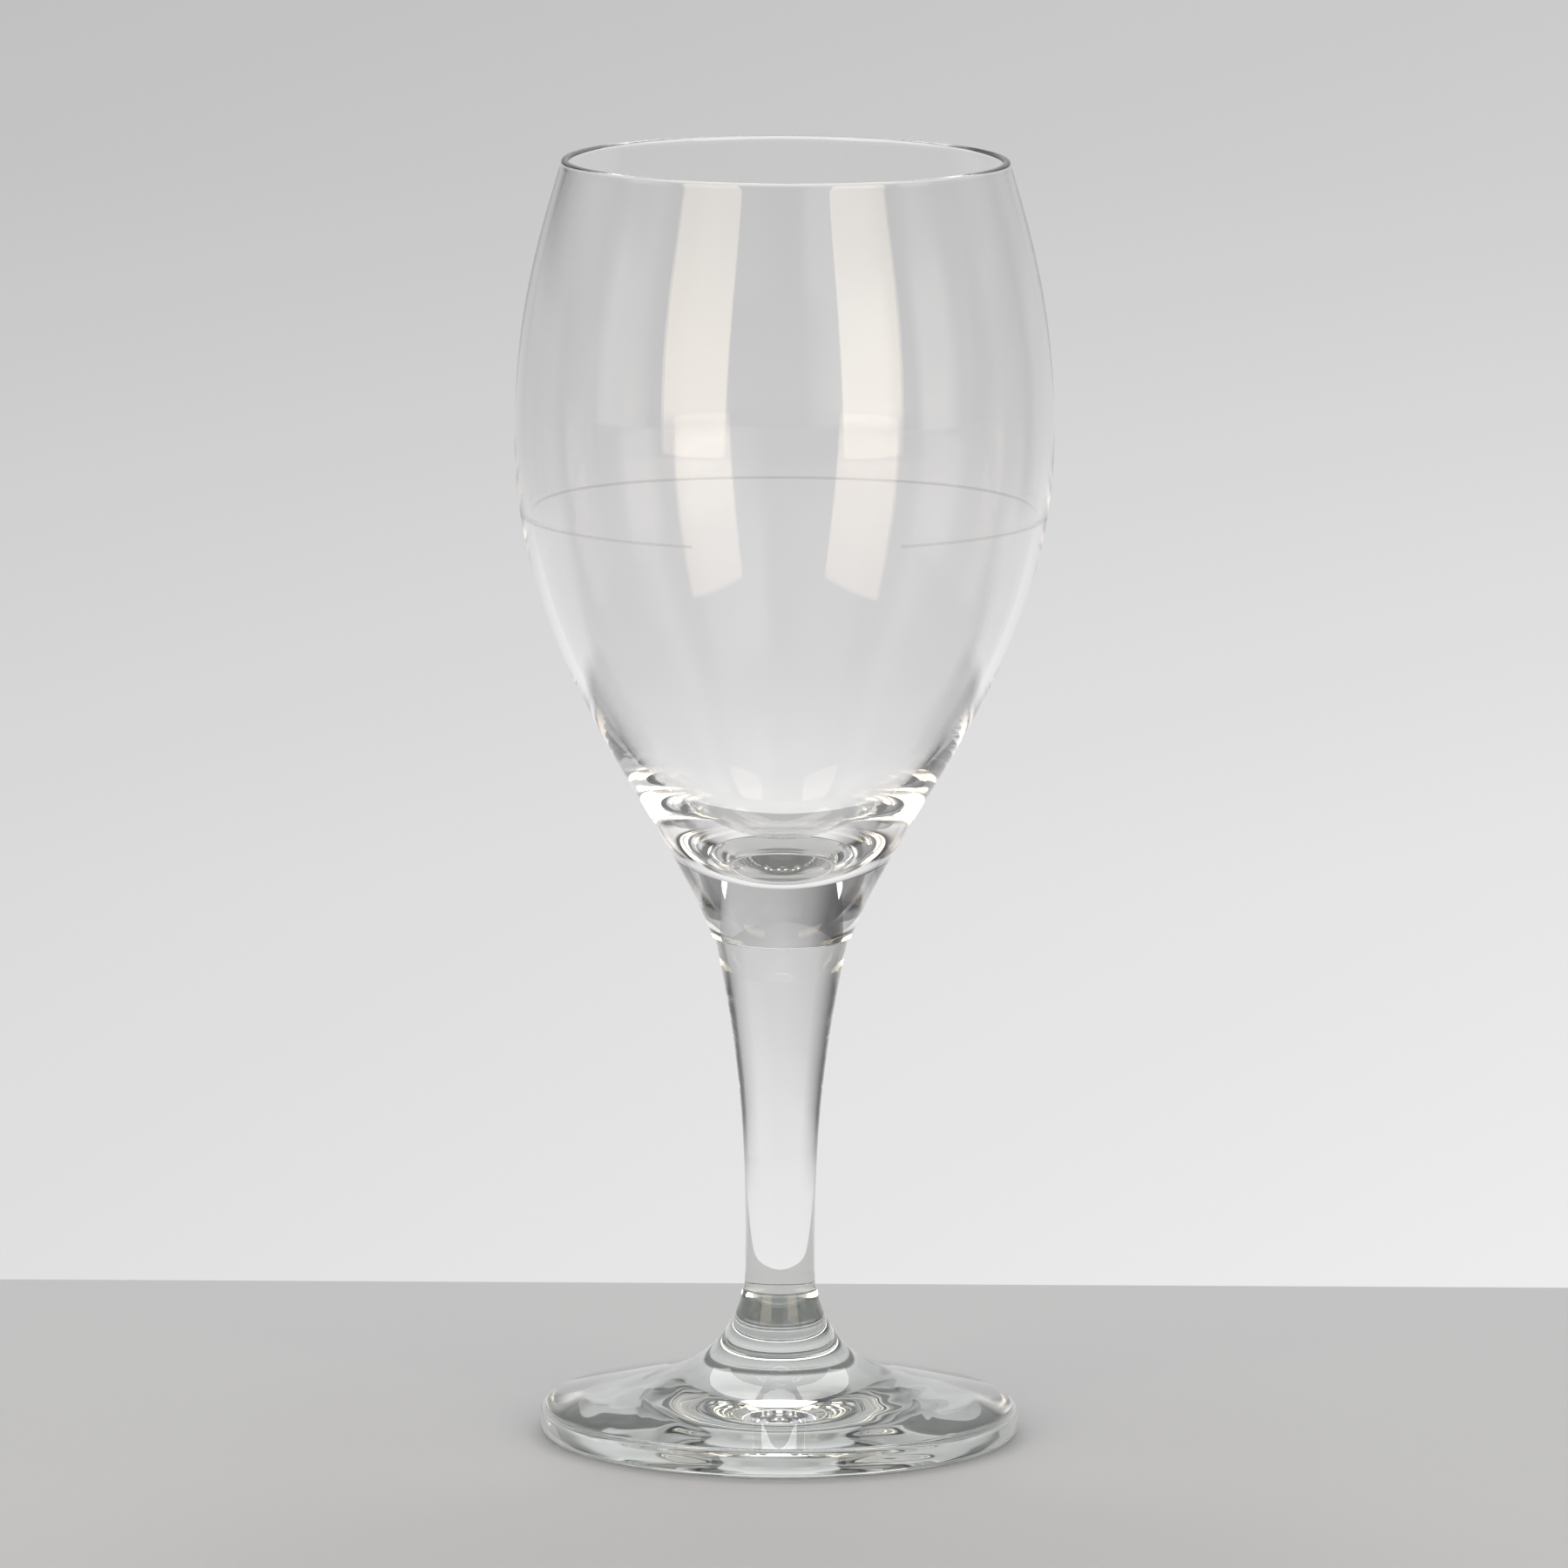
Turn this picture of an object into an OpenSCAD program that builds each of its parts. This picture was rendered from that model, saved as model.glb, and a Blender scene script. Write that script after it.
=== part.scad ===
// Stemmed glass of clear soda-lime glass, standing upright on its foot.
// The origin is the centre of the resting ring, +Z is up and all sizes are in millimetres.
// Three turned glass pieces are fused end to end on flat seams: foot, stem and bowl.
// The fill line is a thin fired print that lies on the outside of the bowl.

/* [Bowl] */
// Height of the bowl, from its seam on the stem to the top of the rim
bowl_h = 106.9; // [98:0.1:120]
// Outer diameter at the rim
rim_d = 60.9; // [52:0.1:70]
// Outer diameter at the widest place, the belly
belly_d = 73.3; // [70:0.1:86]
// Height of the belly above the bowl's seam
belly_h = 68.85; // [62:0.05:75]
// Outer diameter of the bowl's solid base at the seam, before its edge is rounded
base_d = 18.9; // [18.6:0.1:24]
// Thickness of the wall at the rim
rim_wall = 1.1; // [0.9:0.05:2]
// Thickness of the wall at the belly
belly_wall = 1.25; // [1:0.05:2.5]
// Height of the solid base, from the seam up to the inside's lowest point
floor_h = 10.15; // [8:0.05:14]
// Rounding of the base's edge at the seam
base_edge_r = 0.6; // [0.3:0.05:0.9]

/* [Fill line] */
// Height of the fill line above the bowl's seam
line_h = 58.55; // [46:0.05:66]
// Width of the line, measured up the wall
line_w = 0.4; // [0.3:0.05:1]
// Thickness of the fired print
line_t = 0.12; // [0.1:0.01:0.3]
// Where the gap in the line starts, seen from above, with -90 at the front
gap_start = -110; // [-140:1:-95]
// Where the gap in the line ends
gap_end = -64; // [-85:1:-40]

/* [Stem] */
// Height of the stem between its two seams
stem_h = 48.55; // [35:0.05:80]
// Diameter of the stem at its upper seam
stem_top_d = 18.1; // [15:0.1:18.4]
// Diameter of the stem at its waist, the thinnest place
waist_d = 9.5; // [8:0.1:12]
// Height of the waist above the stem's lower seam
waist_h = 4.45; // [2:0.05:8]
// Diameter of the stem at its lower seam
stem_low_d = 9.65; // [8:0.05:9.9]

/* [Foot] */
// Height of the foot up to its seam with the stem
foot_h = 19.95; // [16:0.05:26]
// Diameter of the foot
foot_d = 65.5; // [56:0.1:78]
// Diameter of the foot's neck at the seam
neck_d = 10.2; // [10:0.05:13]
// Height of the foot's rim, before its edges are rounded
edge_h = 3.75; // [3:0.05:5]
// Rounding of the rim's upper edge
edge_top_r = 1.25; // [0.6:0.05:1.5]
// Rounding of the rim's lower edge
edge_low_r = 1.05; // [0.6:0.05:1.4]
// Rounding of the neck's upper edge
neck_r = 0.25; // [0.1:0.05:0.5]
// Width of the flat ring that the foot rests on
rest_w = 1.6; // [1.3:0.1:4]
// Height of the hollow under the foot, at its middle
hollow_h = 1.85; // [0.5:0.05:2.5]

/* [Smoothness] */
// Steps along each curve of an outline
curve_steps = 24; // [8:1:40]
// Steps round each small rounded edge
edge_steps = 5; // [3:1:12]

/* [Hidden] */

// Levels of the seams, the belly, the line and the rim
stem_z = foot_h;
bowl_z = stem_z + stem_h;
belly_z = bowl_z + belly_h;
rim_z = bowl_z + bowl_h;
line_z = bowl_z + line_h;

// Radii of the outlines
rim_r = rim_d / 2;
belly_r = belly_d / 2;
base_r = base_d / 2;
stem_top_r = stem_top_d / 2;
waist_r = waist_d / 2;
foot_r = foot_d / 2;
collar_r = neck_d / 2;

// Pull of each curve's handles, as shares of the curve's own width and height
rim_pull_shares = [0.53, 0.30];
belly_up_share = 0.445;
belly_down_share = 0.448;
cone_pull_shares = [0.21, 0.244];
inside_down_share = 0.447;
inside_floor_share = 0.452;
stem_top_pull_shares = [0.82, 0.39];
waist_up_share = 0.39;
waist_down_share = 0.5;

// The foot's shoulder and the handles above it, as shares of the way out and of the way up
shoulder_shares = [0.48, 0.207];
neck_pull_shares = [0.044, 0.60];
shoulder_pull_shares = [0.198, 0.326];
hollow_flat_share = 0.82;
hollow_step_shares = [0.66, 0.16];

// Cubic curve from a to d, which leaves a towards b and reaches d from c
function curve(a, b, c, d) = [for (i = [0 : curve_steps]) let (t = i / curve_steps, s = 1 - t)
    s * s * s * a + 3 * s * s * t * b + 3 * s * t * t * c + t * t * t * d];

// Arc of radius r that rounds the corner b on the way from a to c
function rounded(a, b, c, r) = let (
    u = (a - b) / norm(a - b),
    v = (c - b) / norm(c - b),
    half = acos(u * v) / 2,
    mid = (u + v) / norm(u + v),
    centre = b + mid * r / sin(half),
    first = b + u * r / tan(half) - centre,
    last = b + v * r / tan(half) - centre,
    from = atan2(first[1], first[0]),
    raw = atan2(last[1], last[0]) - from,
    turn = raw > 180 ? raw - 360 : raw < -180 ? raw + 360 : raw)
    [for (i = [0 : edge_steps]) let (q = from + turn * i / edge_steps)
        centre + r * [cos(q), sin(q)]];

// The points of a path without its first n and its last m points
function inner_part(path, n, m) = [for (i = [n : len(path) - 1 - m]) path[i]];

// Place on a path between two corners, by shares of the way across and of the way up
function between(low, high, shares) = [
    low[0] + (high[0] - low[0]) * shares[0],
    low[1] + (high[1] - low[1]) * shares[1]];

// Outside of the bowl, from the solid base up to the belly and from there to the rim
base_corner = [base_r, bowl_z];
belly_point = [belly_r, belly_z];
rim_point = [rim_r, rim_z - rim_wall / 2];
cone_path = curve(
    base_corner,
    between(base_corner, belly_point, cone_pull_shares),
    belly_point - [0, belly_h * belly_down_share],
    belly_point);
upper_path = curve(
    belly_point,
    belly_point + [0, (rim_point[1] - belly_z) * belly_up_share],
    between(rim_point, belly_point, rim_pull_shares),
    rim_point);
outside_path = concat(cone_path, inner_part(upper_path, 1, 0));

// Inside of the bowl, from the rim down to its lowest point on the axis
inside_rim = rim_point - [rim_wall, 0];
inside_belly = belly_point - [belly_wall, 0];
inside_floor = [0, bowl_z + floor_h];
inside_path = concat(
    curve(
        inside_rim,
        between(inside_rim, inside_belly, rim_pull_shares),
        inside_belly + [0, (rim_point[1] - belly_z) * belly_up_share],
        inside_belly),
    inner_part(curve(
        inside_belly,
        inside_belly - [0, (belly_z - inside_floor[1]) * inside_down_share],
        inside_floor + [inside_belly[0] * inside_floor_share, 0],
        inside_floor), 1, 0));

// Top of the rim, a half circle over the thickness of the wall
rim_arc = [for (i = [1 : 2 * edge_steps - 1]) let (q = 90 * i / edge_steps)
    rim_point + rim_wall / 2 * [cos(q) - 1, sin(q)]];

// Rounded edge of the solid base, which lies flat on the seam
base_arc = rounded([0, bowl_z], base_corner, cone_path[1], base_edge_r);

module bowl() {
    color("azure")
        rotate_extrude($fn = 128)
            polygon(concat(
                [[0, bowl_z]],
                base_arc,
                inner_part(outside_path, 1, 0),
                rim_arc,
                inside_path));
}

// Height-and-radius table of the outside below and above the line, for the print that lies on it
outside_table = [for (p = outside_path) [p[1], p[0]]];
line_low = line_z - line_w / 2;
line_top = line_z + line_w / 2;
line_levels = concat(
    [line_low],
    [for (p = outside_path) if (p[1] > line_low && p[1] < line_top) p[1]],
    [line_top]);
line_inside = [for (z = line_levels) [lookup(z, outside_table), z]];
line_outside = [for (i = [len(line_levels) - 1 : -1 : 0]) line_inside[i] + [line_t, 0]];

module fill_line() {
    color("white")
        rotate([0, 0, gap_end])
            rotate_extrude(angle = 360 - (gap_end - gap_start), $fn = 128)
                polygon(concat(line_inside, line_outside));
}

// Side of the stem, from its upper seam in to the waist and down to its lower seam
stem_top = [stem_top_r, bowl_z];
waist_point = [waist_r, stem_z + waist_h];
stem_low = [stem_low_d / 2, stem_z];
stem_path = concat(
    curve(
        stem_top,
        [stem_top_r - (stem_top_r - waist_r) * stem_top_pull_shares[0],
            bowl_z - (bowl_z - waist_point[1]) * stem_top_pull_shares[1]],
        waist_point + [0, (bowl_z - waist_point[1]) * waist_up_share],
        waist_point),
    inner_part(curve(
        waist_point,
        waist_point - [0, waist_h * waist_down_share],
        stem_low + [0, waist_h * waist_down_share],
        stem_low), 1, 0));

module stem() {
    color("azure")
        rotate_extrude($fn = 128)
            polygon(concat([[0, bowl_z]], stem_path, [[0, stem_z]]));
}

// Upper side of the foot, a neck that flares into the shoulder and runs straight out to the rim
neck_top = [collar_r, foot_h];
edge_top = [foot_r, edge_h];
edge_low = [foot_r, 0];
edge_frame = [[collar_r, edge_h], [foot_r, foot_h]];
shoulder = between(edge_frame[0], edge_frame[1], shoulder_shares);
neck_path = curve(
    neck_top,
    between(edge_frame[0], edge_frame[1], neck_pull_shares),
    between(edge_frame[0], edge_frame[1], shoulder_pull_shares),
    shoulder);

// Underside of the foot, a flat ring round a shallow hollow with a flat middle
rest_inner = [foot_r - edge_low_r - rest_w, 0];
hollow_path = curve(
    rest_inner,
    between([0, 0], [rest_inner[0], hollow_h], hollow_step_shares),
    [rest_inner[0] * hollow_flat_share, hollow_h],
    [0, hollow_h]);

module foot() {
    color("azure")
        rotate_extrude($fn = 128)
            polygon(concat(
                [[0, foot_h]],
                rounded([0, foot_h], neck_top, neck_path[2], neck_r),
                inner_part(neck_path, 2, 0),
                rounded(shoulder, edge_top, edge_low, edge_top_r),
                rounded(edge_top, edge_low, [0, 0], edge_low_r),
                hollow_path));
}

bowl();
stem();
foot();
fill_line();
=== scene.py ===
"""Looks of the stemmed glass: three turned pieces of clear glass and a fired fill line.

Every glass piece is an outline of radius and height, turned about the upright axis. The
pieces meet on flat seams, and a seam lets light straight through, as fused glass does.
Outlines are in millimetres. The meshes, the camera and the studio are in metres.
"""

import math

import bpy
import numpy as np
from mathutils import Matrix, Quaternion, Vector


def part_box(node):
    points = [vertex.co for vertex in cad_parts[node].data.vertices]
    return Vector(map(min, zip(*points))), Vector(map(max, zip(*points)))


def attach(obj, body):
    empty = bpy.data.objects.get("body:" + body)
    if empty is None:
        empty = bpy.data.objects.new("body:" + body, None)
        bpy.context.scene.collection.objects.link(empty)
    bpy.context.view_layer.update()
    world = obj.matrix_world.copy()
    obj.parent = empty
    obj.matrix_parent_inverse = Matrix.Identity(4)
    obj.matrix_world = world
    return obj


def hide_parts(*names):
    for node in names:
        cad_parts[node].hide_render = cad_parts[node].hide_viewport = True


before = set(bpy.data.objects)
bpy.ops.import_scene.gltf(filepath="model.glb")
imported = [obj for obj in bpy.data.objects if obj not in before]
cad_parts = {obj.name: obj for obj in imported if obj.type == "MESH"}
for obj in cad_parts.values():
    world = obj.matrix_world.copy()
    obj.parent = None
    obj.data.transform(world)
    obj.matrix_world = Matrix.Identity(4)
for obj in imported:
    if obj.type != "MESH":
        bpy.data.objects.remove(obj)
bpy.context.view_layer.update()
MM = 0.001

# Levels of the seams, the rim and the line, from the frame
stem_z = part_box("foot")[1][2] / MM
bowl_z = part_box("stem")[1][2] / MM
rim_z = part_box("bowl")[1][2] / MM
line_z = (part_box("fill_line")[0][2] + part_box("fill_line")[1][2]) / 2 / MM

# Bowl
rim_r = 30.45
belly_r = 36.65
belly_h = 68.85
base_r = 9.45
rim_wall = 1.1
belly_wall = 1.25
floor_h = 10.15
base_edge_r = 0.6

# Fill line: its width up the wall, how far it bulges, how deep its back lies in the glass, and
# the ends of its gap in degrees, with -90 at the front
line_w = 0.4
line_t = 0.03
line_sunk = 0.004
gap_start = -110
gap_end = -64

# Stem
stem_top_r = 9.05
waist_r = 4.75
waist_h = 4.45
stem_low_r = 4.825

# Foot
foot_r = 32.75
neck_r = 5.1
edge_h = 3.75
edge_top_round = 1.25
edge_low_round = 1.05
neck_round = 0.25
rest_w = 1.6
hollow_h = 1.85
rest_inner_r = foot_r - edge_low_round - rest_w

# Pull of each curve's handles, as shares of the curve's own width and height
rim_pull_shares = (0.53, 0.30)
belly_up_share = 0.445
belly_down_share = 0.448
cone_pull_shares = (0.21, 0.244)
inside_down_share = 0.447
inside_floor_share = 0.452
stem_top_pull_shares = (0.82, 0.39)
waist_up_share = 0.39
waist_down_share = 0.5

# The foot's shoulder and the handles above it, as shares of the way out and of the way up
shoulder_shares = (0.48, 0.207)
neck_pull_shares = (0.044, 0.60)
shoulder_pull_shares = (0.198, 0.326)
hollow_flat_share = 0.82
hollow_step_shares = (0.66, 0.16)

# Steps round the axis, along a curve, along the short curve under the waist, along a rounded
# edge and across a seam, and the points across and along the fill line
ROUND_STEPS = 320
CURVE_STEPS = 56
WAIST_STEPS = 12
EDGE_STEPS = 8
SEAM_STEPS = 10
LINE_POINTS_ACROSS = 9
LINE_POINTS_ALONG = 420


def curve(a, b, c, d, steps=CURVE_STEPS):
    """Cubic curve from a to d that leaves a towards b and reaches d from c."""
    a, b, c, d = (np.array(p, float) for p in (a, b, c, d))
    t = np.linspace(0, 1, steps + 1)[:, None]
    s = 1 - t
    return s**3 * a + 3 * s**2 * t * b + 3 * s * t**2 * c + t**3 * d


def between(low, high, shares):
    """The place that lies a share of the way across and a share of the way up."""
    across, up = shares
    return np.array([low[0] + (high[0] - low[0]) * across, low[1] + (high[1] - low[1]) * up])


def rounded(a, b, c, radius):
    """Arc that rounds the corner b: its centre lies on the line that halves the corner."""
    a, b, c = (np.array(p, float) for p in (a, b, c))
    u = (a - b) / np.linalg.norm(a - b)
    v = (c - b) / np.linalg.norm(c - b)
    half = math.acos(u @ v) / 2
    centre = b + (u + v) / np.linalg.norm(u + v) * radius / math.sin(half)
    first = b + u * radius / math.tan(half) - centre
    last = b + v * radius / math.tan(half) - centre
    start = math.atan2(first[1], first[0])
    turn = (math.atan2(last[1], last[0]) - start + math.pi) % math.tau - math.pi
    q = start + turn * np.linspace(0, 1, EDGE_STEPS + 1)
    return centre + radius * np.stack([np.cos(q), np.sin(q)], 1)


def flat(start, end):
    """Points across a flat seam, on a straight line from start to end."""
    return np.linspace(start, end, SEAM_STEPS + 1)


def bowl_outline():
    """The bowl's seam, and its outline from there round the base, up, over the rim and down inside.

    The base's edge is rounded towards the cone's third point. The rim is a half circle over the
    thickness of the wall.
    """
    corner = (base_r, bowl_z)
    belly = np.array([belly_r, bowl_z + belly_h])
    rim = np.array([rim_r, rim_z - rim_wall / 2])
    up_pull = (0, (rim[1] - belly[1]) * belly_up_share)
    down_pull = (0, belly_h * belly_down_share)
    cone = curve(corner, between(corner, belly, cone_pull_shares), belly - down_pull, belly)
    upper = curve(belly, belly + up_pull, between(rim, belly, rim_pull_shares), rim)
    edge = rounded((0, bowl_z), corner, cone[2], base_edge_r)
    cone = cone[cone[:, 1] > edge[-1, 1]]
    q = np.linspace(0, math.pi, 2 * EDGE_STEPS + 1)[1:-1]
    over = rim + rim_wall / 2 * np.stack([np.cos(q) - 1, np.sin(q)], 1)

    inner_rim = rim - (rim_wall, 0)
    inner_belly = belly - (belly_wall, 0)
    floor = np.array([0, bowl_z + floor_h])
    inner_rim_pull = between(inner_rim, inner_belly, rim_pull_shares)
    down = curve(inner_rim, inner_rim_pull, inner_belly + up_pull, inner_belly)
    cup_pull = (0, (inner_belly[1] - floor[1]) * inside_down_share)
    floor_pull = (inner_belly[0] * inside_floor_share, 0)
    cup = curve(inner_belly, inner_belly - cup_pull, floor + floor_pull, floor)
    seam = flat((0, bowl_z), edge[0])[:-1]
    return seam, np.concatenate([edge, cone, upper[1:], over, down, cup[1:]])


def stem_outline():
    """The stem's lower seam, its side up through the waist, and its upper seam."""
    low = np.array([stem_low_r, stem_z])
    waist = np.array([waist_r, stem_z + waist_h])
    top = np.array([stem_top_r, bowl_z])
    across_share, down_share = stem_top_pull_shares
    rise = top[1] - waist[1]
    top_pull = ((stem_top_r - waist_r) * across_share, rise * down_share)
    low_pull = (0, waist_h * waist_down_share)
    under = curve(low, low + low_pull, waist - low_pull, waist, WAIST_STEPS)
    above = curve(waist, waist + (0, rise * waist_up_share), top - top_pull, top)
    side = np.concatenate([under, above[1:]])
    return flat((0, stem_z), side[0])[:-1], side, flat(side[-1], (0, bowl_z))[1:]


def foot_outline():
    """The foot's outline from the hollow's middle over the resting ring to the collar, and its seam.

    The collar rounds the neck's upper edge, towards the neck's fourth point from the top.
    """
    low, high = (neck_r, edge_h), (foot_r, stem_z)
    neck_top, edge_top, edge_low = (neck_r, stem_z), (foot_r, edge_h), (foot_r, 0)
    shoulder = between(low, high, shoulder_shares)
    shoulder_pull = between(low, high, shoulder_pull_shares)
    neck = curve(shoulder, shoulder_pull, between(low, high, neck_pull_shares), neck_top)
    collar = rounded(neck[-4], neck_top, (0, stem_z), neck_round)
    step = between((0, 0), (rest_inner_r, hollow_h), hollow_step_shares)
    flat_end = (rest_inner_r * hollow_flat_share, hollow_h)
    side = np.concatenate(
        [
            curve((0, hollow_h), flat_end, step, (rest_inner_r, 0)),
            rounded((0, 0), edge_low, edge_top, edge_low_round),
            rounded(edge_low, edge_top, shoulder, edge_top_round),
            neck[neck[:, 1] < collar[0, 1]],
            collar,
        ]
    )
    return side, flat(side[-1], (0, stem_z))[1:]


def new_object(name, points, faces, smooth=False):
    """An object in the scene with a mesh of these points and faces."""
    mesh = bpy.data.meshes.new(name)
    mesh.from_pydata(np.asarray(points).tolist(), [], faces)
    if smooth:
        mesh.polygons.foreach_set("use_smooth", np.ones(len(faces), bool))
    made = bpy.data.objects.new(name, mesh)
    bpy.context.collection.objects.link(made)
    return made


def grid_faces(number):
    """Four-sided faces between the neighbours in a grid of point numbers."""
    corners = [number[:-1, :-1], number[:-1, 1:], number[1:, 1:], number[1:, :-1]]
    return np.stack(corners, 2).reshape(-1, 4)


def turned_points(outline, on_seam, ripple):
    """Each point of the outline as a ring of points about the axis, and its ends as single points.

    x and y are the radius times the cosine and sine of the turn, and z is the height. The
    ripple moves a point along the outline's own normal by a function of turn, radius and
    height, but not on a seam.
    """
    along = np.gradient(outline, axis=0)
    normal = np.stack([along[:, 1], -along[:, 0]], 1) / np.linalg.norm(along, axis=1)[:, None]
    rings = outline[1:-1]
    turn = np.arange(ROUND_STEPS) * math.tau / ROUND_STEPS
    q = np.repeat(turn[None, :], len(rings), 0)
    r = np.repeat(rings[:, :1], ROUND_STEPS, 1)
    z = np.repeat(rings[:, 1:], ROUND_STEPS, 1)
    if ripple:
        shift = ripple(q, r, z) * ~on_seam[1:-1, None]
        r, z = r + normal[1:-1, :1] * shift, z + normal[1:-1, 1:] * shift
    grid = np.stack([r * np.cos(q), r * np.sin(q), z], 2).reshape(-1, 3)
    return np.concatenate([[(0, 0, outline[0, 1])], grid, [(0, 0, outline[-1, 1])]]) * MM


def turned_faces(rings):
    """Four-sided faces between neighbouring rings, then a fan of triangles at the start and the end."""
    last = rings * ROUND_STEPS + 1
    number = np.arange(1, last).reshape(rings, ROUND_STEPS)
    closed = np.concatenate([number, number[:, :1]], 1)
    axis = np.zeros(ROUND_STEPS, int)
    start = np.stack([axis, closed[0, 1:], closed[0, :-1]], 1)
    end = np.stack([axis + last, closed[-1, :-1], closed[-1, 1:]], 1)
    return grid_faces(closed).tolist() + start.tolist() + end.tolist()


def crease(mesh, rings):
    """Makes the edges sharp that run round in these rings of a turned mesh."""
    ends = np.empty(len(mesh.edges) * 2, np.int32)
    mesh.edges.foreach_get("vertices", ends)
    ring = (ends.reshape(-1, 2) - 1) // ROUND_STEPS
    sharp = (ring[:, 0] == ring[:, 1]) & np.isin(ring[:, 0], rings)
    mesh.attributes.new("sharp_edge", "BOOLEAN", "EDGE").data.foreach_set("value", sharp)


def turned(name, stretches, seams, ripple):
    """A closed glass body, turned from the stretches of its outline.

    The stretches whose numbers are in seams get the second material, and the rings on both
    sides of the place where two stretches meet are sharp.
    """
    outline = np.concatenate(stretches)
    on_seam = np.concatenate([np.full(len(s), i in seams) for i, s in enumerate(stretches)])
    faces = turned_faces(len(outline) - 2)
    piece = new_object(name, turned_points(outline, on_seam, ripple), faces, smooth=True)
    mesh = piece.data
    bands = on_seam[1:-2] | on_seam[2:-1]
    kinds = np.repeat(np.concatenate([bands, on_seam[[0, -1]]]), ROUND_STEPS)
    mesh.polygons.foreach_set("material_index", kinds.astype(np.int32))
    meets = np.cumsum([len(s) for s in stretches])[:-1]
    crease(mesh, np.concatenate([meets - 1, meets - 2]))
    mesh.validate()
    mesh.update()
    return piece


def printed_line(name):
    """The fill line: a thin band on the bowl's outside, bulged across its width like wet enamel.

    It runs round from one end of the gap to the other. Its height goes as the square root of
    one minus the square of the place across the band, and it tapers to nothing at both ends.
    A strip of faces along its border joins its front to its back.
    """
    outline = bowl_outline()[1]
    outside = outline[: np.argmax(outline[:, 1])]
    across = np.linspace(-1, 1, LINE_POINTS_ACROSS)
    turn = np.radians(np.linspace(gap_end, 360 + gap_start, LINE_POINTS_ALONG))
    level = line_z + across * line_w / 2
    wall = np.interp(level, outside[:, 1], outside[:, 0])
    ends = np.minimum(1, np.minimum(turn - turn[0], turn[-1] - turn) * belly_r / line_w)
    bulge = line_t * np.sqrt(1 - across**2)[None, :] * np.sqrt(ends)[:, None]
    radius = np.stack([wall + bulge, np.broadcast_to(wall - line_sunk, bulge.shape)])
    x = radius * np.cos(turn)[None, :, None]
    y = radius * np.sin(turn)[None, :, None]
    z = np.broadcast_to(level, radius.shape)
    points = np.stack([x, y, z], 3).reshape(-1, 3) * MM

    behind = bulge.size
    number = np.arange(behind).reshape(bulge.shape)
    front = grid_faces(number.T)
    back = front[:, ::-1] + behind
    border = np.concatenate([number[0, :-1], number[:-1, -1], number[-1, :0:-1], number[:0:-1, 0]])
    after = np.roll(border, -1)
    sides = np.stack([border, after, after + behind, border + behind], 1)
    return new_object(name, points, np.concatenate([front, back, sides]).tolist(), smooth=True)


def linear(hex_colour):
    """An sRGB hex colour as linear numbers with alpha 1."""
    parts = [int(hex_colour[i : i + 2], 16) / 255 for i in (1, 3, 5)]
    return [c / 12.92 if c <= 0.04045 else ((c + 0.055) / 1.055) ** 2.4 for c in parts] + [1.0]


def add(tree, kind, values=None, links=None, **settings):
    """Adds a node: settings are its own properties, values its sockets and links what feeds them."""
    made = tree.nodes.new(kind)
    for key, value in settings.items():
        setattr(made, key, value)
    for key, value in (values or {}).items():
        made.inputs[key].default_value = value
    for key, source in (links or {}).items():
        tree.links.new(source, made.inputs[key])
    return made


def new_material(name):
    """An empty node material and its output node."""
    mat = bpy.data.materials.new(name)
    mat.use_nodes = True
    mat.node_tree.nodes.clear()
    return mat, add(mat.node_tree, "ShaderNodeOutputMaterial")


def soda_lime_glass(name, tint, ripple_length, ripple_depth):
    """Clear soda-lime glass, fire-polished: IOR 1.52, no roughness, a faint green in the mass.

    The surface keeps slow ripples from the hot tool. ripple_length and ripple_depth are in
    millimetres, and the depth is a little over the real one so that it shows.
    """
    mat, out = new_material(name)
    tree = mat.node_tree
    waves = add(
        tree,
        "ShaderNodeTexNoise",
        values={"Scale": 1 / (ripple_length * MM), "Detail": 1.0, "Roughness": 0.4},
        links={"Vector": add(tree, "ShaderNodeTexCoord").outputs["Object"]},
    )
    bump = add(
        tree,
        "ShaderNodeBump",
        values={"Strength": 1.0, "Distance": ripple_depth * MM},
        links={"Height": waves.outputs["Fac"]},
    )
    glass = add(
        tree,
        "ShaderNodeBsdfPrincipled",
        values={
            "Base Color": linear(tint),
            "Roughness": 0.0,
            "IOR": 1.52,
            "Transmission Weight": 1.0,
        },
        links={"Normal": bump.outputs["Normal"]},
    )
    tree.links.new(glass.outputs["BSDF"], out.inputs["Surface"])
    return mat


def fused_seam():
    """Where two pieces were fused hot there is no surface left, so light passes unbent."""
    mat, out = new_material("fused_seam")
    clear = add(mat.node_tree, "ShaderNodeBsdfTransparent")
    mat.node_tree.links.new(clear.outputs["BSDF"], out.inputs["Surface"])
    return mat


# Size of the grains in the fired print, in millimetres
PRINT_GRAIN = 0.15


def fired_print():
    """White ceramic ink fired on the glass: dull, a little see-through and grainy."""
    mat, out = new_material("fired_print")
    tree = mat.node_tree
    grain = add(
        tree,
        "ShaderNodeTexNoise",
        values={"Scale": 1 / (PRINT_GRAIN * MM), "Detail": 2.0},
        links={"Vector": add(tree, "ShaderNodeTexCoord").outputs["Object"]},
    )
    shade = add(
        tree,
        "ShaderNodeMix",
        data_type="RGBA",
        values={6: linear("#b2b2ae"), 7: linear("#cecec9")},
        links={"Factor": grain.outputs["Fac"]},
    )
    ink = add(
        tree,
        "ShaderNodeBsdfPrincipled",
        values={"Roughness": 0.55, "Alpha": 0.13},
        links={"Base Color": shade.outputs[2]},
    )
    tree.links.new(ink.outputs["BSDF"], out.inputs["Surface"])
    return mat


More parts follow.
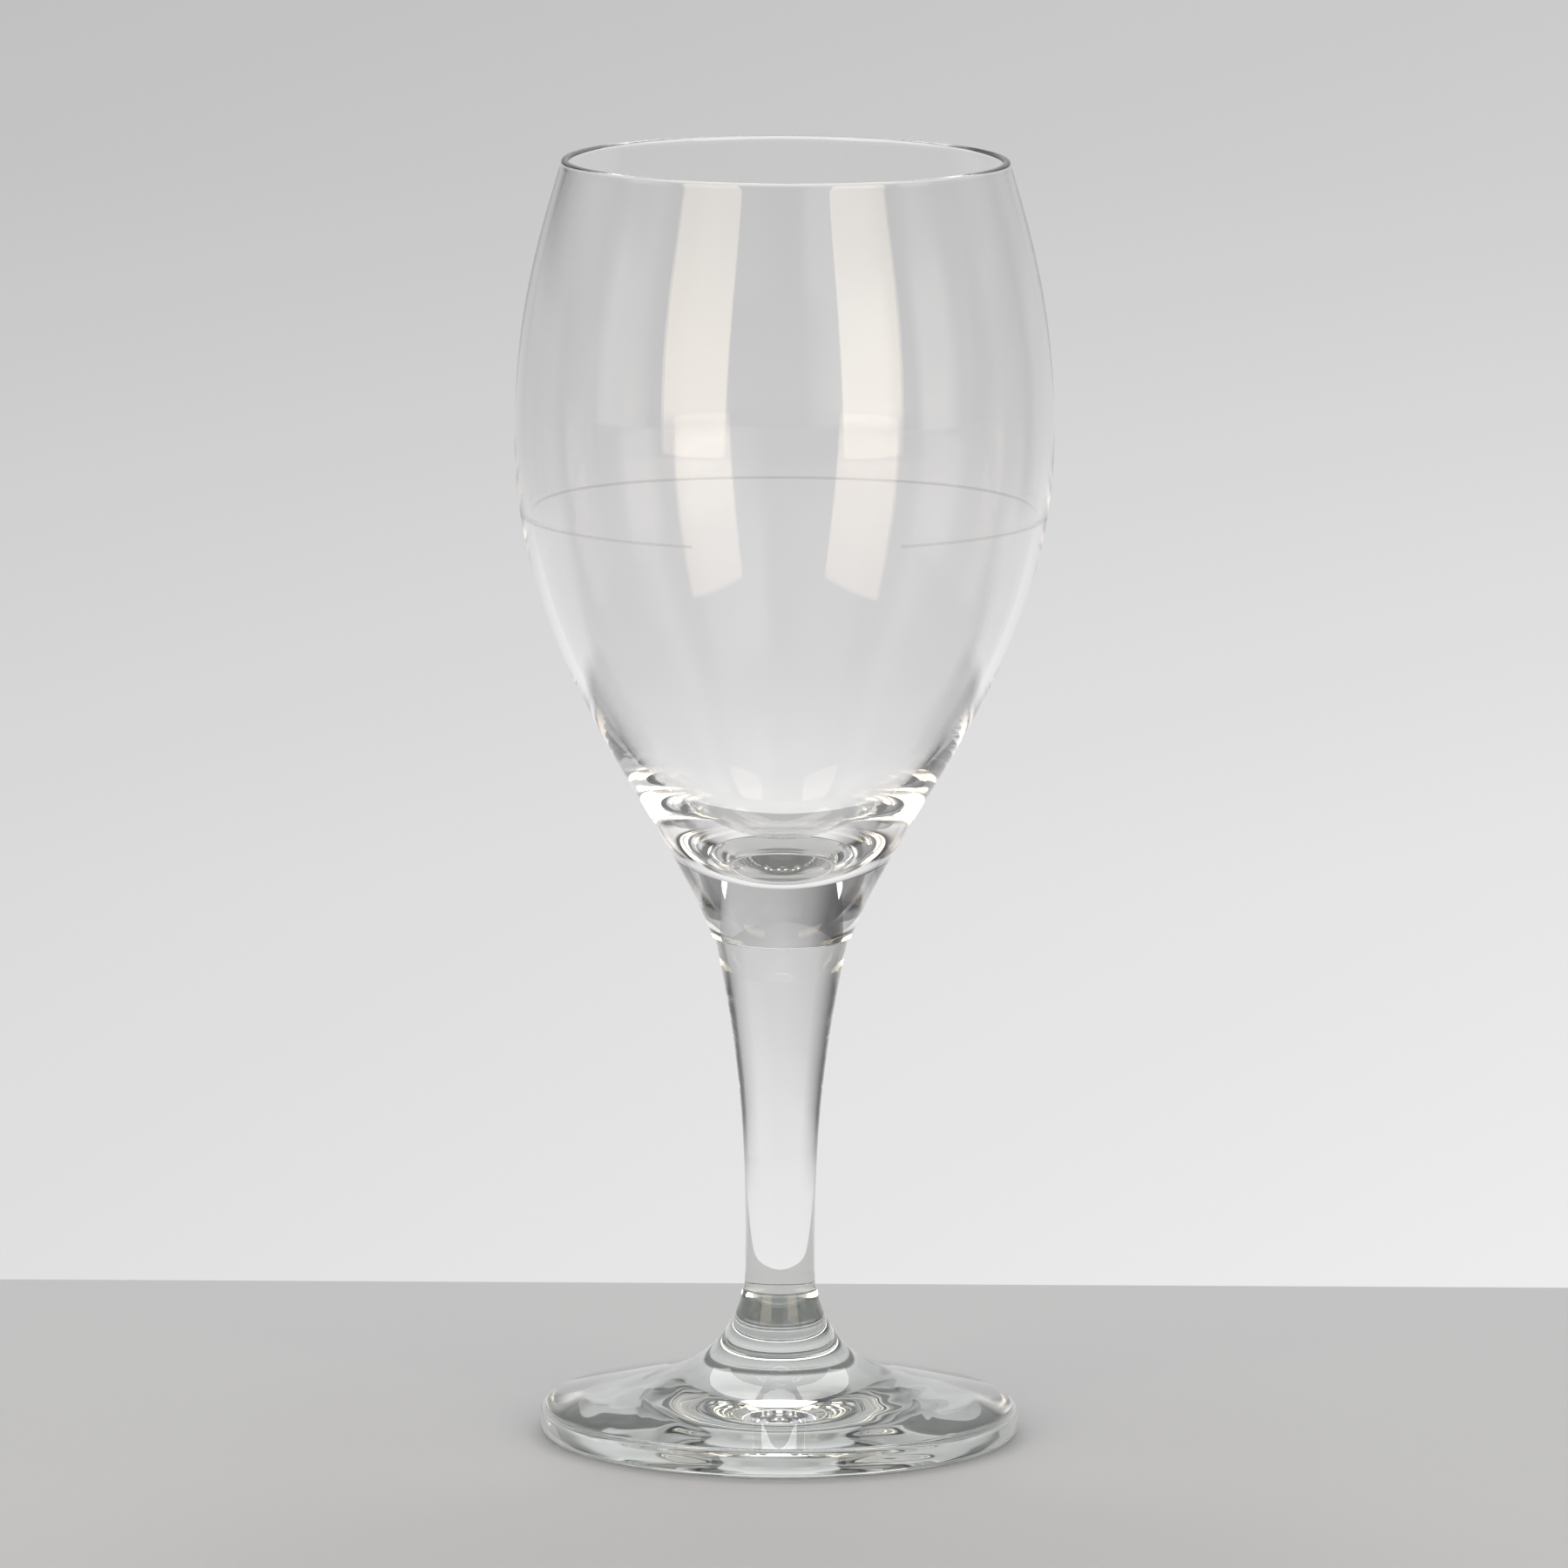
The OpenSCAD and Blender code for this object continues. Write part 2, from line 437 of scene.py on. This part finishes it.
# Swirls in the underside of the foot: how far to each side of the middle they start, the width
# over which they rise and their depth, in millimetres, and for each set of lobes its share of
# the depth, its number round the foot, how it winds in radians per millimetre and its start
SWIRL_START = 7
SWIRL_RISE = 8
SWIRL_DEPTH = 0.06
SWIRL_LOBES = ((1.0, 5, 0.6, 0.0), (0.7, 11, -1.1, 0.8))


def pressed_ripple(turn, r, z):
    """Swirls in the underside of the foot, to the left and the right of its smooth middle.

    The lobes are sines of the turn that wind slowly outwards. They rise smoothly to each side
    and are flat at the resting ring.
    """
    aside = np.clip((np.abs(r * np.cos(turn)) - SWIRL_START) / SWIRL_RISE, 0, 1)
    under = (z <= hollow_h) * np.clip(1 - r / rest_inner_r, 0, 1) * aside**2 * (3 - 2 * aside)
    lobes = 0
    for share, count, winding, start in SWIRL_LOBES:
        lobes = lobes + share * np.sin(count * turn + winding * r + start)
    return SWIRL_DEPTH * lobes * under


seam_glass = fused_seam()

# Each piece of glass replaces the plain solid of the same name: its outline, which stretches of
# that are seams, its swirls, its slot and tint, and the length and depth of its fine ripples
PIECES = {
    "bowl": (bowl_outline(), {0}, None, "bowl_glass", "#fdfdfd", 20, 0.004),
    "stem": (stem_outline(), {0, 2}, None, "stem_glass", "#fcfdfc", 12, 0.006),
    "foot": (foot_outline(), {1}, pressed_ripple, "foot_glass", "#f7fbf8", 10, 0.012),
}
for node, (outline, seams, ripple, slot, tint, ripple_length, ripple_depth) in PIECES.items():
    piece = turned(f"glass_{node}", outline, seams, ripple)
    piece.data.materials.append(soda_lime_glass(slot, tint, ripple_length, ripple_depth))
    piece.data.materials.append(seam_glass)
    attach(piece, "root")
    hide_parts(node)

line = printed_line("printed_fill_line")
line.data.materials.append(fired_print())
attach(line, "root")
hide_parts("fill_line")

# Camera at the photograph's distance, height and angle, with the width that it sees at the glass
CAMERA_DISTANCE = 1.7213
CAMERA_HEIGHT = 0.3630
CAMERA_AIM = Vector((0.0002, 0, 0.0898))
FRAME_WIDTH = 0.2137
ROLL = math.radians(0.31)
SENSOR_WIDTH = 36
CLIP_START = 0.05
CLIP_END = 50


def make_camera():
    """A long lens that looks a little down on the glass, with the photograph's slight roll."""
    data = bpy.data.cameras.new("camera")
    eye = Vector((0, -CAMERA_DISTANCE, CAMERA_HEIGHT))
    look = CAMERA_AIM - eye
    data.sensor_width = SENSOR_WIDTH
    data.lens = SENSOR_WIDTH * look.length / FRAME_WIDTH
    data.clip_start = CLIP_START
    data.clip_end = CLIP_END
    camera = bpy.data.objects.new("camera", data)
    camera.rotation_mode = "QUATERNION"
    camera.rotation_quaternion = look.to_track_quat("-Z", "Y") @ Quaternion((0, 0, 1), ROLL)
    camera.location = eye
    bpy.context.collection.objects.link(camera)
    bpy.context.scene.camera = camera


# The floor is a pale slab that ends a little behind the glass, as the table does
FLOOR_TOP = -0.0001
FLOOR_BACK = 0.1032
FLOOR_SIZE = 4.0
FLOOR_THICK = 0.04


def make_floor():
    """A pale matt slab, its top a hair under the glass and its far edge just behind it."""
    half, front = FLOOR_SIZE / 2, FLOOR_BACK - FLOOR_SIZE
    corners = [(-half, front), (half, front), (half, FLOOR_BACK), (-half, FLOOR_BACK)]
    points = [(x, y, z) for z in (FLOOR_TOP, FLOOR_TOP - FLOOR_THICK) for x, y in corners]
    faces = [(0, 1, 2, 3), (7, 6, 5, 4), (0, 4, 5, 1), (1, 5, 6, 2), (2, 6, 7, 3), (3, 7, 4, 0)]
    floor = new_object("floor", points, faces)
    mat, out = new_material("pale_board")
    board = add(
        mat.node_tree,
        "ShaderNodeBsdfPrincipled",
        values={"Base Color": linear("#cacbcd"), "Roughness": 0.6, "Specular IOR Level": 0.3},
    )
    mat.node_tree.links.new(board.outputs["BSDF"], out.inputs["Surface"])
    floor.data.materials.append(mat)


def shades_along(tree, value, stops):
    """Shades at places along a value, each with its hex colour, as one colour ramp.

    The span of the ramp is from the place of the first stop to that of the last.
    """
    low, high = stops[0][0], stops[-1][0]
    share = add(
        tree,
        "ShaderNodeMapRange",
        values={"From Min": low, "From Max": high},
        links={"Value": value},
    )
    ramp = add(tree, "ShaderNodeValToRGB", links={"Fac": share.outputs[0]})
    elements = ramp.color_ramp.elements
    while len(elements) < len(stops):
        elements.new(1)
    for element, (place, colour) in zip(elements, stops):
        element.position = (place - low) / (high - low)
        element.color = linear(colour)
    return ramp.outputs["Color"]


def stacked(tree, height, bands, lowest, steps):
    """The lowest band, and over each step the next one above it.

    A step has the name of the band above it, and the heights from which and to which that one
    takes over.
    """
    blend = bands[lowest]
    for name, start, end in steps:
        up = add(
            tree,
            "ShaderNodeMapRange",
            values={"From Min": start, "From Max": end},
            links={"Value": height},
        )
        mixed = add(
            tree,
            "ShaderNodeMix",
            data_type="RGBA",
            links={"Factor": up.outputs[0], 6: blend, 7: bands[name]},
        )
        blend = mixed.outputs[2]
    return blend


def place_about_glass(tree, vector):
    """The parts of a vector, and its azimuth in degrees with 0 behind the glass."""
    parts = add(tree, "ShaderNodeSeparateXYZ", links={0: vector}).outputs
    turn = add(tree, "ShaderNodeMath", operation="ARCTAN2", links={0: parts["X"], 1: parts["Y"]})
    azimuth = add(tree, "ShaderNodeMath", operation="DEGREES", links={0: turn.outputs[0]})
    return parts, azimuth.outputs[0]


# The wall that the camera sees, by height as the sine of the elevation, and how much brighter or
# darker it gets from the middle of the picture to its sides
SEEN_WALL = [
    (-0.25, "#eeeded"), (-0.195, "#e8e7e8"), (-0.1635, "#e2e1e2"), (-0.1365, "#d8d7d8"),
    (-0.1095, "#cacaca"), (-0.096, "#c6c6c6"), (0.0, "#b4b4b4"), (0.75, "#8c8c8c"),
]
SEEN_SIDE = 0.06
SEEN_DRIFT = 0.06

# The walls that clear glass and mirrors see low, half way up and high, by azimuth in degrees,
# and between which heights each gives way to the one above it
WALLS = {
    "low": [
        (-180, "#7c7c7c"), (-168, "#787878"), (-150, "#8c8c8c"), (-137, "#868686"), (-132, "#303030"),
        (-121, "#343434"), (-112, "#d8d6d2"), (-96, "#fdfcf8"), (-89, "#a0a0a0"), (-80, "#8c8c8c"),
        (-60, "#949494"), (0, "#d6d6d6"), (60, "#8c8c8c"), (84, "#848484"), (97, "#8c8c8c"),
        (104, "#fdfcf8"), (117, "#fdfcf8"), (122, "#444444"), (130, "#484848"), (135, "#fdfcf8"),
        (156, "#f8f8f4"), (166, "#c8c8c8"), (172, "#787878"), (180, "#7c7c7c"),
    ],
    "middle": [
        (-180, "#707070"), (-162, "#a8a8a8"), (-140, "#a0a0a0"), (-132, "#404040"), (-120, "#505050"),
        (-112, "#b4b4b4"), (-98, "#404040"), (-54, "#343434"), (-38, "#3c3c3c"), (-28, "#5c5c5c"),
        (-15, "#9c9c9c"), (0, "#b8b8b8"), (30, "#c4c4c4"), (50, "#a4a4a4"), (60, "#686868"),
        (80, "#585858"), (100, "#787878"), (112, "#c8c8c8"), (122, "#484848"), (130, "#505050"),
        (136, "#c8c8c8"), (156, "#f0f0f0"), (168, "#e8e8e8"), (173, "#808080"), (180, "#707070"),
    ],
    "high": [(-180, "#8c8c8c"), (-60, "#787878"), (0, "#bebebe"), (60, "#808080"), (180, "#8c8c8c")],
}
WALL_STEPS = (("middle", 0.24, 0.34), ("high", 0.64, 0.72))

# Strength of the even light on matt surfaces
MATT_FILL = 0.62


def make_world():
    """A pale studio, as a function of the direction of view.

    The camera sees a wall that is pale low down and a little greyer higher up, and paler to the
    right. Clear glass and mirrors see the walls round it: pale ones, two bright ones at the
    sides, and dark screens between them that draw the dark lines of clear glass. Matt surfaces
    see an even pale grey.
    """
    world = bpy.data.worlds.new("studio")
    world.use_nodes = True
    tree = world.node_tree
    tree.nodes.clear()
    out = add(tree, "ShaderNodeOutputWorld")
    way, azimuth = place_about_glass(tree, add(tree, "ShaderNodeTexCoord").outputs["Generated"])
    seen_wall = shades_along(tree, way["Z"], SEEN_WALL)
    bands = {name: shades_along(tree, azimuth, stops) for name, stops in WALLS.items()}
    round_about = stacked(tree, way["Z"], bands, "low", WALL_STEPS)
    drift = add(
        tree,
        "ShaderNodeMapRange",
        values={
            "From Min": -SEEN_SIDE,
            "From Max": SEEN_SIDE,
            "To Min": 1 - SEEN_DRIFT,
            "To Max": 1 + SEEN_DRIFT,
        },
        links={"Value": way["X"]},
    )
    seen = add(tree, "ShaderNodeBackground", links={"Color": seen_wall, "Strength": drift.outputs[0]})
    mirrored = add(tree, "ShaderNodeBackground", links={"Color": round_about})
    fill = add(
        tree,
        "ShaderNodeBackground",
        values={"Color": linear("#ffffff"), "Strength": MATT_FILL},
    )
    rays = add(tree, "ShaderNodeLightPath").outputs
    sharp = add(
        tree,
        "ShaderNodeMath",
        operation="MAXIMUM",
        links={0: rays["Is Glossy Ray"], 1: rays["Is Transmission Ray"]},
    )
    shown = add(
        tree,
        "ShaderNodeMixShader",
        links={0: sharp.outputs[0], 1: fill.outputs[0], 2: mirrored.outputs[0]},
    )
    mix = add(
        tree,
        "ShaderNodeMixShader",
        links={0: rays["Is Camera Ray"], 1: shown.outputs[0], 2: seen.outputs[0]},
    )
    tree.links.new(mix.outputs[0], out.inputs["Surface"])
    bpy.context.scene.world = world


# Screens are curved in this many steps, and these rays pass them as if they weren't there
SCREEN_STEPS = 80
UNSEEN_BY = ("camera", "diffuse", "shadow", "volume_scatter")


def half_tube(name, finish, radius, low, top, reach):
    """A curved screen behind the glass, which clear glass shows and the camera doesn't.

    Its points lie on a half tube about the glass: x and y are its radius times the sine and
    cosine of the azimuth. Returns its node tree, the output node and the sockets of the height
    and of the azimuth in degrees, with 0 behind the glass.
    """
    turn = np.radians(np.linspace(-reach, reach, SCREEN_STEPS + 1))
    level = np.array([low, top])[:, None]
    x, y, z = np.broadcast_arrays(radius * np.sin(turn), radius * np.cos(turn), level)
    points = np.stack([x, y, z], 2).reshape(-1, 3)
    faces = grid_faces(np.arange(x.size).reshape(x.shape)).tolist()
    screen = new_object(name, points, faces)
    for view in UNSEEN_BY:
        setattr(screen, f"visible_{view}", False)
    mat, out = new_material(finish)
    screen.data.materials.append(mat)
    tree = mat.node_tree
    place, azimuth = place_about_glass(tree, add(tree, "ShaderNodeTexCoord").outputs["Object"])
    return tree, out, place["Z"], azimuth


# The curved sheet that glows behind the glass though it is no lamp, whose painted light and painted
# shade are the bright and dark reflections that clear glass shows: its radius, its lowest and highest
# level, how far it reaches to each side in degrees, its shades by height, and its bands by azimuth with
# the heights between which each gives way to the one above it
SHEET_RADIUS = 0.45
SHEET_LOW = -0.35
SHEET_TOP = 0.24
SHEET_REACH = 80
SHEET_UPRIGHT = [
    (SHEET_LOW, "#fcfcfa"), (-0.20, "#fafaf8"), (-0.12, "#f6f5f5"), (-0.0686, "#efeeef"),
    (0.0032, "#e7e6e7"), (0.0637, "#d9d8d9"), (0.1237, "#cacaca"), (SHEET_TOP, "#c0c0c0"),
]
SHEET_BANDS = {
    "bottom": [
        (-SHEET_REACH, "#6c6c6c"), (-50, "#606060"), (-30, "#545454"), (-22, "#a0a0a0"),
        (-16, "#f4f4f4"), (0, "#ffffff"), (14, "#f4f4f4"), (20, "#a0a0a0"), (28, "#545454"),
        (40, "#848484"), (54, "#b0b0b0"), (SHEET_REACH, "#8c8c8c"),
    ],
    "low": [
        (-SHEET_REACH, "#909090"), (-68, "#e8e8e8"), (-56, "#ffffff"), (56, "#ffffff"),
        (68, "#e8e8e8"), (SHEET_REACH, "#909090"),
    ],
    "middle": [
        (-SHEET_REACH, "#c4c4c4"), (-62, "#cecece"), (-50, "#e0e0e0"), (-39, "#ececec"),
        (-18, "#f8f8f8"), (0, "#ffffff"), (42, "#ffffff"), (46, "#fcfcfc"), (50, "#e0e0e0"),
        (54, "#c4c4c4"), (66, "#d6d6d6"), (SHEET_REACH, "#e8e8e8"),
    ],
    "high": [
        (-SHEET_REACH, "#acacac"), (-62, "#a0a0a0"), (-52, "#949494"), (-42, "#747474"),
        (-30, "#8c8c8c"), (-16, "#e4e4e4"), (0, "#ffffff"), (16, "#f0f0f0"), (42, "#e4e4e4"),
        (56, "#acacac"), (66, "#bcbcbc"), (SHEET_REACH, "#dadada"),
    ],
}
SHEET_STEPS = (("low", -0.17, -0.14), ("middle", 0.0, 0.045), ("high", 0.15, 0.19))


def make_sheet():
    """A pale sheet close behind the glass that glows, though it is no lamp. Its painted light and
    painted shade are the bright and dark reflections that clear glass shows.

    Its light is a shade by height times a shade by azimuth, and there are four bands by
    azimuth, one above the other.
    """
    tree, out, height, azimuth = half_tube(
        "sheet", "glowing_sheet", SHEET_RADIUS, SHEET_LOW, SHEET_TOP, SHEET_REACH
    )
    upright = shades_along(tree, height, SHEET_UPRIGHT)
    bands = {name: shades_along(tree, azimuth, stops) for name, stops in SHEET_BANDS.items()}
    light = add(
        tree,
        "ShaderNodeMix",
        data_type="RGBA",
        blend_type="MULTIPLY",
        values={"Factor": 1.0},
        links={6: upright, 7: stacked(tree, height, bands, "bottom", SHEET_STEPS)},
    )
    # The sheet's glow is painted light and painted shade for the glass to reflect, not a lamp
    glow = add(tree, "ShaderNodeEmission", links={"Color": light.outputs[2]})
    tree.links.new(glow.outputs[0], out.inputs["Surface"])


# Grey gauze screens to both sides of the stem, which draw the dark edges of its clear glass: how
# much light they let through by azimuth, and how full they are by height, soft at both ends
GAUZE_RADIUS = 0.08
GAUZE_LOW = 0.02
GAUZE_TOP = 0.078
GAUZE_REACH = 84
GAUZE_GREYS = [
    (-GAUZE_REACH, "#b4b4b4"), (-72, "#acacac"), (-64, "#4c4c4c"), (-55, "#4c4c4c"),
    (-50, "#a8a8a8"), (-44, "#c4c4c4"), (-34, "#e2e2e2"), (-22, "#ffffff"), (22, "#ffffff"),
    (34, "#ebebeb"), (46, "#d3d3d3"), (50, "#aeaeae"), (54, "#7b7b7b"), (58, "#2c2c2c"),
    (63, "#2c2c2c"), (69, "#a4a4a4"), (GAUZE_REACH, "#b8b8b8"),
]
GAUZE_FILL = [(GAUZE_LOW, "#000000"), (0.04, "#ffffff"), (0.072, "#ffffff"), (GAUZE_TOP, "#000000")]


def make_gauze():
    """Screens beside the stem that let a part of the light through."""
    tree, out, height, azimuth = half_tube(
        "gauze", "grey_gauze", GAUZE_RADIUS, GAUZE_LOW, GAUZE_TOP, GAUZE_REACH
    )
    passed = add(
        tree,
        "ShaderNodeMix",
        data_type="RGBA",
        values={6: linear("#ffffff")},
        links={
            "Factor": shades_along(tree, height, GAUZE_FILL),
            7: shades_along(tree, azimuth, GAUZE_GREYS),
        },
    )
    veil = add(tree, "ShaderNodeBsdfTransparent", links={"Color": passed.outputs[2]})
    tree.links.new(veil.outputs[0], out.inputs["Surface"])


# Shares of a strip lamp's light from its foot, 0, to its top, 1
STRIP_FADE = [
    (0, "#bcbcbc"), (0.09, "#c2c2c2"), (0.15, "#f9f9f9"), (0.35, "#ffffff"), (0.6, "#f6f6f6"),
    (1, "#cbcbcb"),
]

# Each lamp's azimuth with 0 at the camera, elevation, distance, width, height, radiance, colour
# and fade, and the place on the axis that all lamps face
LAMPS = {
    "strip_left": (-39, 14.2, 1.2, 0.62, 0.78, 2.3, "#ffeed4", STRIP_FADE),
    "strip_right": (38, 14.2, 1.2, 0.58, 0.78, 2.15, "#ffeed4", STRIP_FADE),
    "top_back": (180, 52, 1.0, 1.10, 0.34, 2.0, "#ffffff", None),
}
LAMP_AIM = Vector((0, 0, 0.09))

# After how many bounces light from a strip lamp starts to dim and has dimmed, and what is left
GUIDED_START = 13
GUIDED_END = 18
GUIDED_LEFT = 0.3


def faded_lamp(data, fade):
    """Gives a lamp's surface its shares of light from the foot to the top.

    Light that went round many times inside the wall of the glass comes out dimmed, because real
    glass takes some of it on so long a way.
    """
    data.use_nodes = True
    tree = data.node_tree
    tree.nodes.clear()
    on_lamp = add(tree, "ShaderNodeNewGeometry").outputs["Parametric"]
    place = add(tree, "ShaderNodeSeparateXYZ", links={0: on_lamp})
    left = add(
        tree,
        "ShaderNodeMapRange",
        values={"From Min": GUIDED_START, "From Max": GUIDED_END, "To Min": 1.0, "To Max": GUIDED_LEFT},
        links={"Value": add(tree, "ShaderNodeLightPath").outputs["Ray Depth"]},
    )
    strength = add(
        tree,
        "ShaderNodeMath",
        operation="MULTIPLY",
        links={0: shades_along(tree, place.outputs["Y"], fade), 1: left.outputs[0]},
    )
    glow = add(tree, "ShaderNodeEmission", links={"Strength": strength.outputs[0]})
    tree.links.new(glow.outputs[0], add(tree, "ShaderNodeOutputLight").inputs["Surface"])


def soft_lamp(name, azimuth, elevation, distance, width, height, radiance, colour, fade):
    """A flat soft lamp that faces the glass and that the camera doesn't see.

    The lamp's power is four times its area times its radiance, as the renderer counts it.
    """
    data = bpy.data.lights.new(name, "AREA")
    data.shape = "RECTANGLE"
    data.size = width
    data.size_y = height
    data.energy = 4 * width * height * radiance
    data.color = linear(colour)[:3]
    if fade:
        faded_lamp(data, fade)
    a, e = math.radians(azimuth), math.radians(elevation)
    away = Vector((math.sin(a) * math.cos(e), -math.cos(a) * math.cos(e), math.sin(e)))
    lamp = bpy.data.objects.new(name, data)
    lamp.location = LAMP_AIM + away * distance
    lamp.rotation_mode = "QUATERNION"
    lamp.rotation_quaternion = away.to_track_quat("Z", "Y")
    lamp.visible_camera = False
    bpy.context.collection.objects.link(lamp)


make_camera()
make_floor()
make_world()
make_sheet()
make_gauze()
for name, settings in LAMPS.items():
    soft_lamp(name, *settings)

scene = bpy.context.scene
scene.view_settings.view_transform = "Standard"

# Light is guided many times round inside the wall and the base, so it may bounce often
scene.cycles.max_bounces = 160
scene.cycles.transmission_bounces = 60
scene.cycles.glossy_bounces = 140
scene.cycles.transparent_max_bounces = 24
